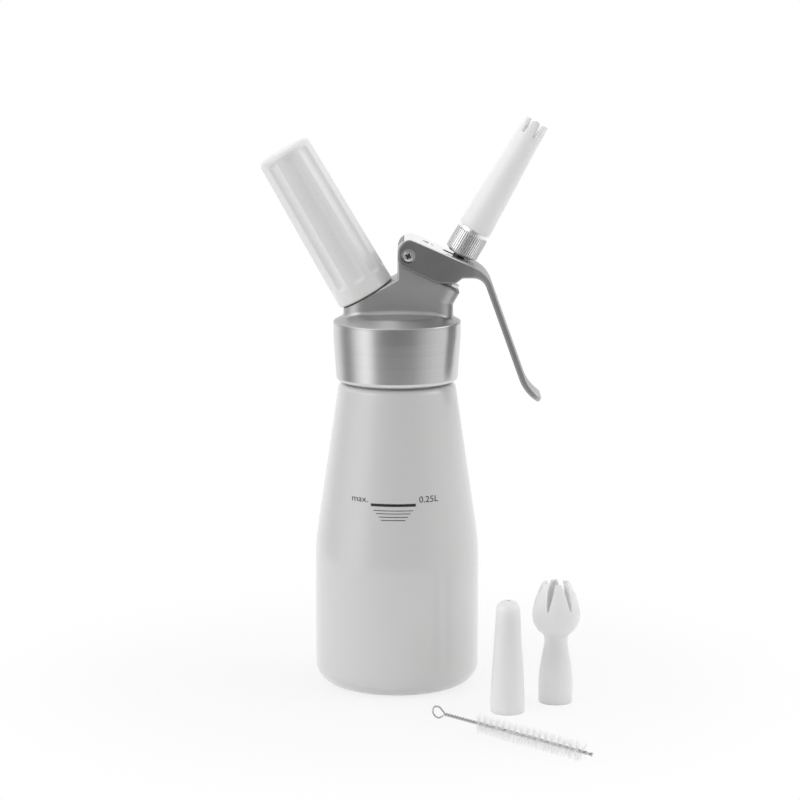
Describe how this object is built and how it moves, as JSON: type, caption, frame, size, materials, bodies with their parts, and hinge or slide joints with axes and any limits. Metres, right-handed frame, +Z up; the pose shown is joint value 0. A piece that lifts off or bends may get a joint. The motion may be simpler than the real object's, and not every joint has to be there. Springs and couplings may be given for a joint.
{
  "type": "whipped cream dispenser",
  "caption": "Enamelled pressure bottle with a screw-on cast head, squeeze lever, slanted gas charger holder and star nozzle, with spare nozzles and a cleaning brush.",
  "frame": {"origin": "centre of the bottle's base, on the table", "axes": "+Z up along the bottle's axis; +X towards the lever's handle and the nozzle's lean; -Y is the front, where the fill mark is printed"},
  "size_m": [0.1298, 0.1577, 0.2367],
  "materials": {
    "white_enamel": "gloss",
    "turned_aluminium": "turned satin",
    "cast_aluminium": "polished cast",
    "bright_steel": "polished",
    "spring_steel": "drawn wire",
    "charger_steel": "satin",
    "brass": "turned",
    "black_rubber": "matte",
    "white_plastic": "satin",
    "grey_plastic": "matte",
    "white_nylon": "bristle"
  },
  "bodies": {
    "bottle": {"bottle": "white_enamel"},
    "head_gasket": {"head_gasket": "black_rubber"},
    "head": {"head_casting": "turned_aluminium", "piercing_pin": "brass", "pin_gasket": "black_rubber", "check_valve_sleeve": "black_rubber", "valve_guide_nut": "bright_steel", "guide_o_ring": "black_rubber", "valve_spring": "spring_steel"},
    "lever": {"lever": "cast_aluminium", "pivot_sleeve": "bright_steel", "pivot_screws": "bright_steel"},
    "valve": {"valve_stem": "bright_steel", "stem_collar": "bright_steel", "valve_seal": "black_rubber", "seal_retainer": "bright_steel"},
    "adapter_washer": {"adapter_washer": "grey_plastic"},
    "adapter": {"nozzle_adapter": "bright_steel"},
    "nozzle": {"star_nozzle": "white_plastic"},
    "charger": {"gas_charger": "charger_steel", "charger_cap": "charger_steel"},
    "holder": {"charger_holder": "white_plastic", "holder_thread_insert": "brass", "holder_end_pad": "grey_plastic"},
    "plain_nozzle": {"plain_nozzle": "white_plastic"},
    "tulip_nozzle": {"tulip_nozzle": "white_plastic"},
    "brush": {"brush_wire": "spring_steel", "brush_bristles": "white_nylon"}
  },
  "joints": [
    {"name": "head_rise", "type": "slide", "parent": "bottle", "child": "head_gasket", "axis": [0, 0, 1], "range_m": [0, 0.008]},
    {"name": "head_turn", "type": "hinge", "parent": "head_gasket", "child": "head", "pos_m": [0, 0, 0.15], "axis": [0, 0, 1], "range_deg": [0, 720.5]},
    {"name": "lever_squeeze", "type": "hinge", "parent": "head", "child": "lever", "pos_m": [0.0046, 0, 0.1802], "axis": [0, 1, 0], "range_deg": [0, 9], "stiffness_Nm_per_rad": 1, "springref_deg": -22.92},
    {"name": "valve_stroke", "type": "slide", "parent": "head", "child": "valve", "axis": [-0.5, 0, -0.866], "range_m": [0, 0.003], "deforming": ["valve_spring"]},
    {"name": "washer_rise", "type": "slide", "parent": "valve", "child": "adapter_washer", "axis": [0.5, 0, 0.866], "range_m": [0, 0.005]},
    {"name": "adapter_turn", "type": "hinge", "parent": "adapter_washer", "child": "adapter", "pos_m": [0.0192, 0, 0.1683], "axis": [0.5, 0, 0.866], "range_deg": [0, 1441]},
    {"name": "nozzle_off", "type": "slide", "parent": "adapter", "child": "nozzle", "axis": [0.5, 0, 0.866], "range_m": [0, 0.008]},
    {"name": "charger_rise", "type": "slide", "parent": "head", "child": "charger", "axis": [-0.5, 0, 0.866], "range_m": [0, 0.0075]},
    {"name": "holder_turn", "type": "hinge", "parent": "charger", "child": "holder", "pos_m": [-0.0128, 0, 0.16365], "axis": [-0.5, 0, 0.866], "range_deg": [0, 1801]},
    {"name": "plain_nozzle_lift", "type": "slide", "parent": "bottle", "child": "plain_nozzle", "axis": [0, 0, 1], "range_m": [0, 0.06]},
    {"name": "tulip_nozzle_lift", "type": "slide", "parent": "bottle", "child": "tulip_nozzle", "axis": [0, 0, 1], "range_m": [0, 0.06]},
    {"name": "brush_lift", "type": "slide", "parent": "bottle", "child": "brush", "axis": [0, 0, 1], "range_m": [0, 0.06]}
  ],
  "couplings": [
    {"joint": "head_turn", "follows": "head_rise", "rad_per_m": 1570.8},
    {"joint": "lever_squeeze", "follows": "valve_stroke", "rad_per_m": 52.22},
    {"joint": "adapter_turn", "follows": "washer_rise", "rad_per_m": 5026.5},
    {"joint": "holder_turn", "follows": "charger_rise", "rad_per_m": 4188.8}
  ]
}
